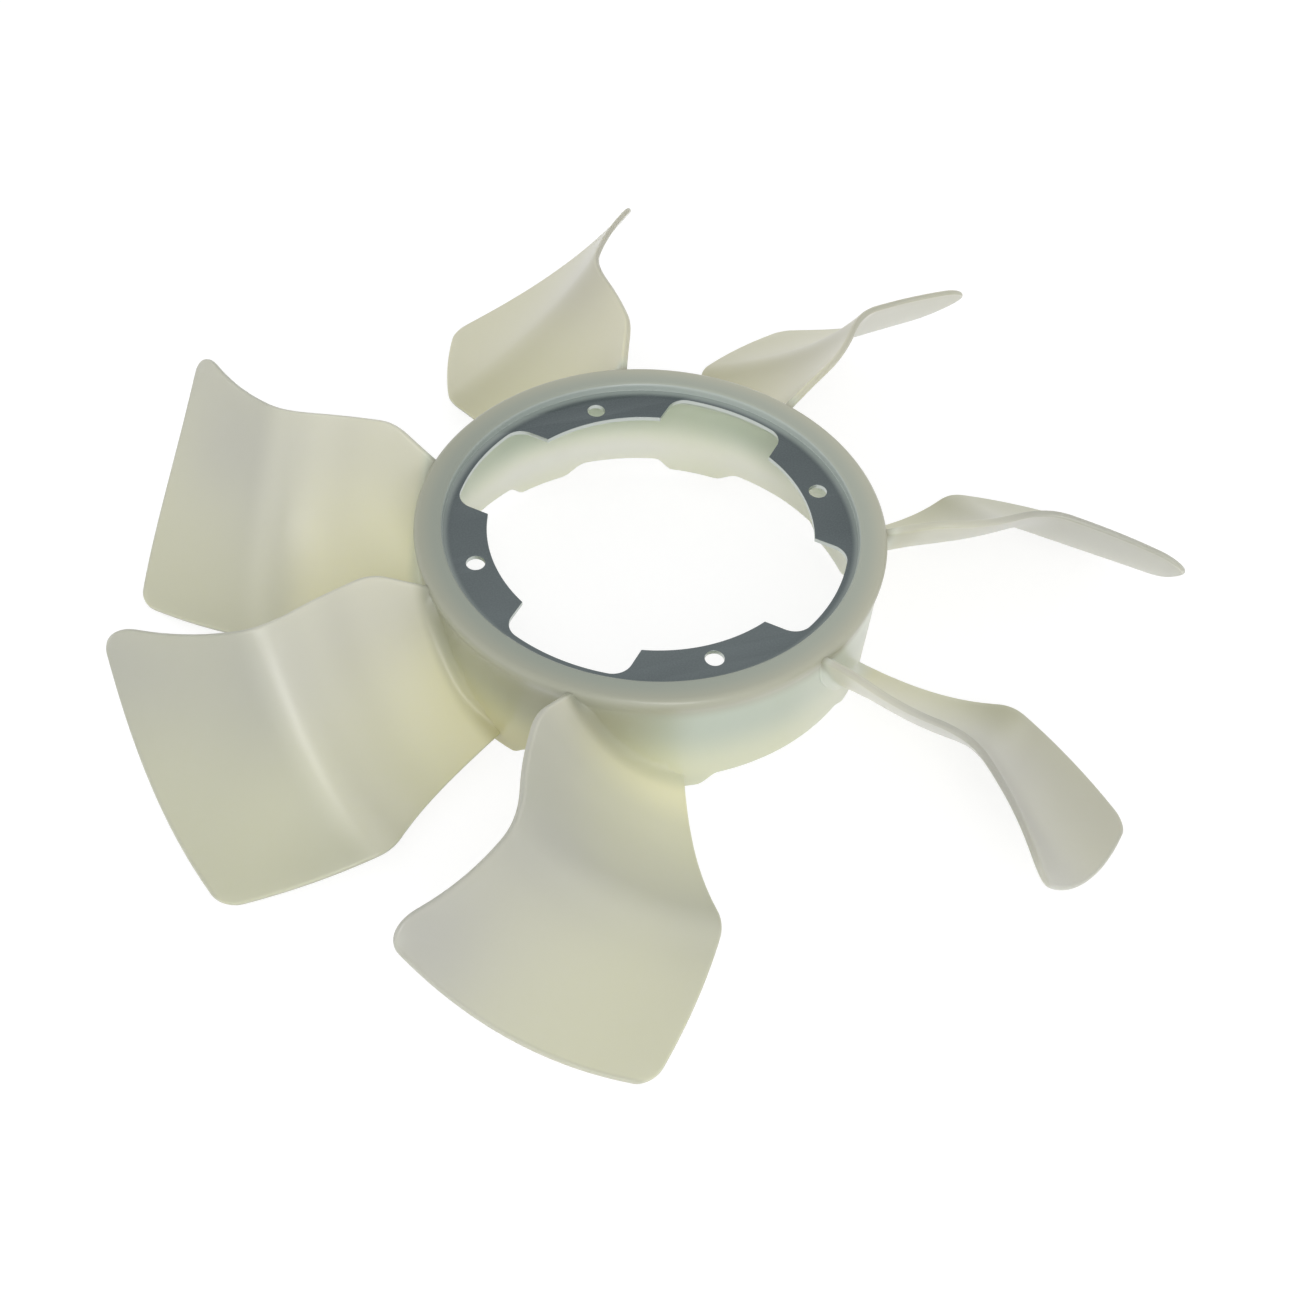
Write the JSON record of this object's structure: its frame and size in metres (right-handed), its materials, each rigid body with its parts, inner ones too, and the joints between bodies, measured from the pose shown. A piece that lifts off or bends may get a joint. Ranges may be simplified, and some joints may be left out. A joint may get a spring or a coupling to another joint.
{
  "type": "radiator fan blade",
  "caption": "Moulded nylon engine cooling fan with twisted, creased blades at uneven spacing round a drum-shaped hub, with a steel ring moulded in for bolting to a fan clutch.",
  "frame": {"origin": "centre of the bolt circle on the top face of the steel ring", "axes": "+Z along the fan's axis towards the rim side, +X through one bolt hole"},
  "size_m": [0.4293, 0.4171, 0.0704],
  "materials": {
    "nylon": "satin, slightly translucent natural nylon",
    "steel": "dark blue-grey coated sheet steel, satin"
  },
  "bodies": {
    "root": {"fan_moulding": "nylon", "steel_insert_ring": "steel"}
  },
  "joints": []
}
